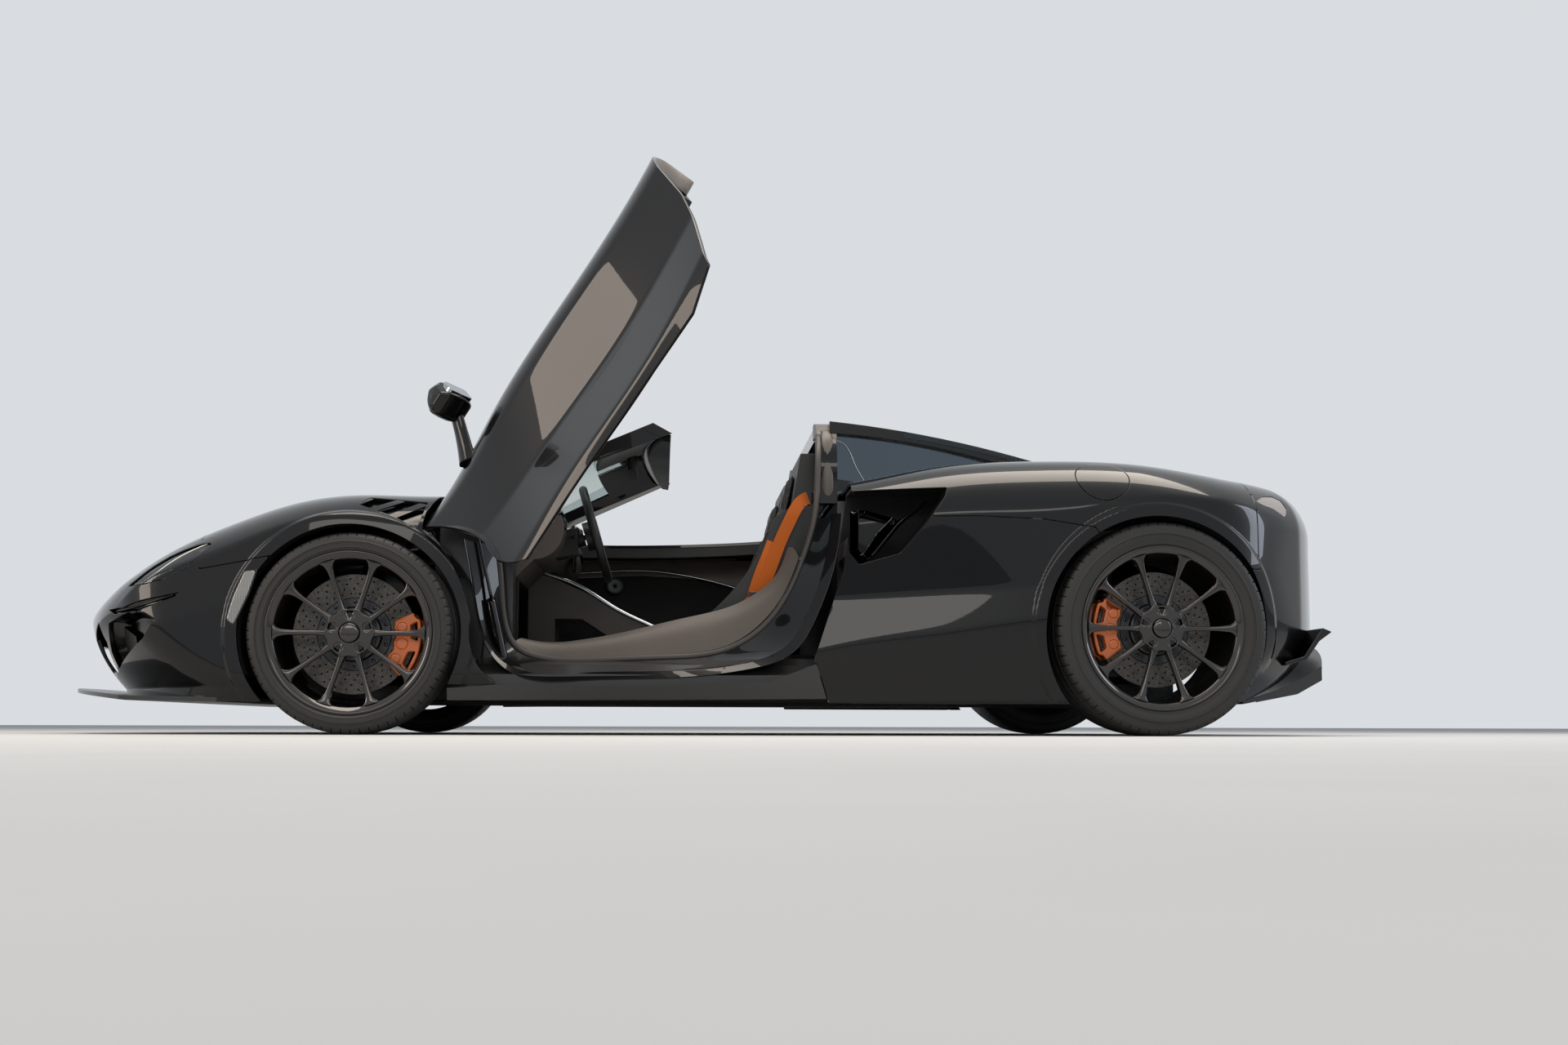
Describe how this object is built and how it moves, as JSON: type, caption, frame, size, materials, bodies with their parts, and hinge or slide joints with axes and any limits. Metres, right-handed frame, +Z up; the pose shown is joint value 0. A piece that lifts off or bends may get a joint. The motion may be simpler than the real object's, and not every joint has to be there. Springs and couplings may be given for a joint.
{
  "type": "supercar",
  "caption": "Open two-seat supercar with steering road wheels, dihedral doors, an opening bonnet, tonneau and fuel flap, and one door raised.",
  "frame": {"origin": "on the ground, on the car's centre plane, halfway along the body's length", "axes": "+X forward to the nose, +Y to the car's left, +Z up"},
  "size_m": [4.5315, 2.6144, 1.8058],
  "materials": {
    "body_paint": "gloss black with a fine bronze flake",
    "carbon": "lacquered carbon weave",
    "satin_black": "satin black moulding",
    "clear_glass": "clear laminated glass",
    "tinted_glass": "blue-grey tinted glass",
    "lamp_glass": "clear lamp cover",
    "tail_lens": "dark red lens",
    "exhaust_steel": "brushed",
    "cabin_leather": "matt black leather",
    "seat_leather": "black leather with orange accents",
    "suspension_alloy": "forged, satin",
    "caliper_paint": "gloss orange",
    "engine_alloy": "cast",
    "tyre_rubber": "matt",
    "rim_paint": "dark satin",
    "disc_iron": "ground"
  },
  "bodies": {
    "chassis": {"tub": "carbon", "undertray": "satin_black", "arch_liners": "satin_black", "windscreen_frame": "body_paint", "windscreen": "clear_glass", "front_bumper": "body_paint", "front_splitter": "carbon", "front_wings": "body_paint", "headlamps": "lamp_glass", "front_grille": "satin_black", "front_boot": "satin_black", "side_skirts": "carbon", "rear_quarters": "body_paint", "intake_ducts": "satin_black", "rear_clamshell": "body_paint", "roll_hoop": "body_paint", "rear_glass": "tinted_glass", "rear_bumper": "body_paint", "rear_grille": "satin_black", "exhaust_tips": "exhaust_steel", "diffuser": "carbon", "tail_lamps": "tail_lens", "dashboard": "cabin_leather", "steering_column": "satin_black", "centre_console": "cabin_leather", "seat_shells": "seat_leather", "seat_pads": "seat_leather", "suspension_front": "suspension_alloy", "suspension_rear": "suspension_alloy", "knuckles_rear": "suspension_alloy", "calipers_rear": "caliper_paint", "engine": "engine_alloy"},
    "bonnet": {"bonnet": "body_paint"},
    "tonneau": {"tonneau_cover": "body_paint"},
    "fuel_flap": {"fuel_flap": "body_paint"},
    "door_left": {"door_skin_left": "body_paint", "door_trim_left": "cabin_leather", "mirror_left": "body_paint"},
    "door_right": {"door_skin_right": "body_paint", "door_trim_right": "cabin_leather", "mirror_right": "body_paint"},
    "knuckle_left": {"knuckle_front_left": "suspension_alloy", "caliper_front_left": "caliper_paint"},
    "knuckle_right": {"knuckle_front_right": "suspension_alloy", "caliper_front_right": "caliper_paint"},
    "steering": {"steering_wheel": "seat_leather"},
    "wheel_front_left": {"tyre_front_left": "tyre_rubber", "rim_front_left": "rim_paint", "brake_disc_front_left": "disc_iron"},
    "wheel_front_right": {"tyre_front_right": "tyre_rubber", "rim_front_right": "rim_paint", "brake_disc_front_right": "disc_iron"},
    "wheel_rear_left": {"tyre_rear_left": "tyre_rubber", "rim_rear_left": "rim_paint", "brake_disc_rear_left": "disc_iron"},
    "wheel_rear_right": {"tyre_rear_right": "tyre_rubber", "rim_rear_right": "rim_paint", "brake_disc_rear_right": "disc_iron"}
  },
  "joints": [
    {"name": "door_left_hinge", "type": "hinge", "parent": "chassis", "child": "door_left", "pos_m": [0.919, 0.82, 0.706], "axis": [0.458, 0.696, -0.553], "range_deg": [-62.9, 0]},
    {"name": "door_right_hinge", "type": "hinge", "parent": "chassis", "child": "door_right", "pos_m": [0.919, -0.82, 0.706], "axis": [-0.458, 0.696, 0.553], "range_deg": [0, 62.9]},
    {"name": "bonnet_hinge", "type": "hinge", "parent": "chassis", "child": "bonnet", "pos_m": [1.0445, 0, 0.788], "axis": [0, -1, 0], "range_deg": [0, 50]},
    {"name": "tonneau_hinge", "type": "hinge", "parent": "chassis", "child": "tonneau", "pos_m": [-0.962, 0, 0.951], "axis": [0, -1, 0], "range_deg": [0, 60]},
    {"name": "fuel_flap_hinge", "type": "hinge", "parent": "chassis", "child": "fuel_flap", "pos_m": [-1.1745, 0.8981, 0.8648], "axis": [0, 0.6775, -0.7355], "range_deg": [0, 70]},
    {"name": "steer_left", "type": "hinge", "parent": "chassis", "child": "knuckle_left", "pos_m": [1.19, 0.735, 0.3235], "axis": [0, 0, 1], "range_deg": [-32, 32]},
    {"name": "steer_right", "type": "hinge", "parent": "chassis", "child": "knuckle_right", "pos_m": [1.19, -0.735, 0.3235], "axis": [0, 0, 1], "range_deg": [-32, 32]},
    {"name": "steering_wheel_turn", "type": "hinge", "parent": "chassis", "child": "steering", "pos_m": [0.44, 0.37, 0.716], "axis": [-0.96, 0, 0.28], "range_deg": [-450, 450]},
    {"name": "wheel_front_left_spin", "type": "hinge", "parent": "knuckle_left", "child": "wheel_front_left", "pos_m": [1.19, 0.825, 0.3235], "axis": [0, 1, 0], "continuous": true},
    {"name": "wheel_front_right_spin", "type": "hinge", "parent": "knuckle_right", "child": "wheel_front_right", "pos_m": [1.19, -0.825, 0.3235], "axis": [0, 1, 0], "continuous": true},
    {"name": "wheel_rear_left_spin", "type": "hinge", "parent": "chassis", "child": "wheel_rear_left", "pos_m": [-1.45, 0.8065, 0.357], "axis": [0, 1, 0], "continuous": true},
    {"name": "wheel_rear_right_spin", "type": "hinge", "parent": "chassis", "child": "wheel_rear_right", "pos_m": [-1.45, -0.8065, 0.357], "axis": [0, 1, 0], "continuous": true}
  ],
  "couplings": [
    {"joint": "steer_right", "follows": "steer_left", "ratio": 1},
    {"joint": "steering_wheel_turn", "follows": "steer_left", "ratio": 14}
  ]
}
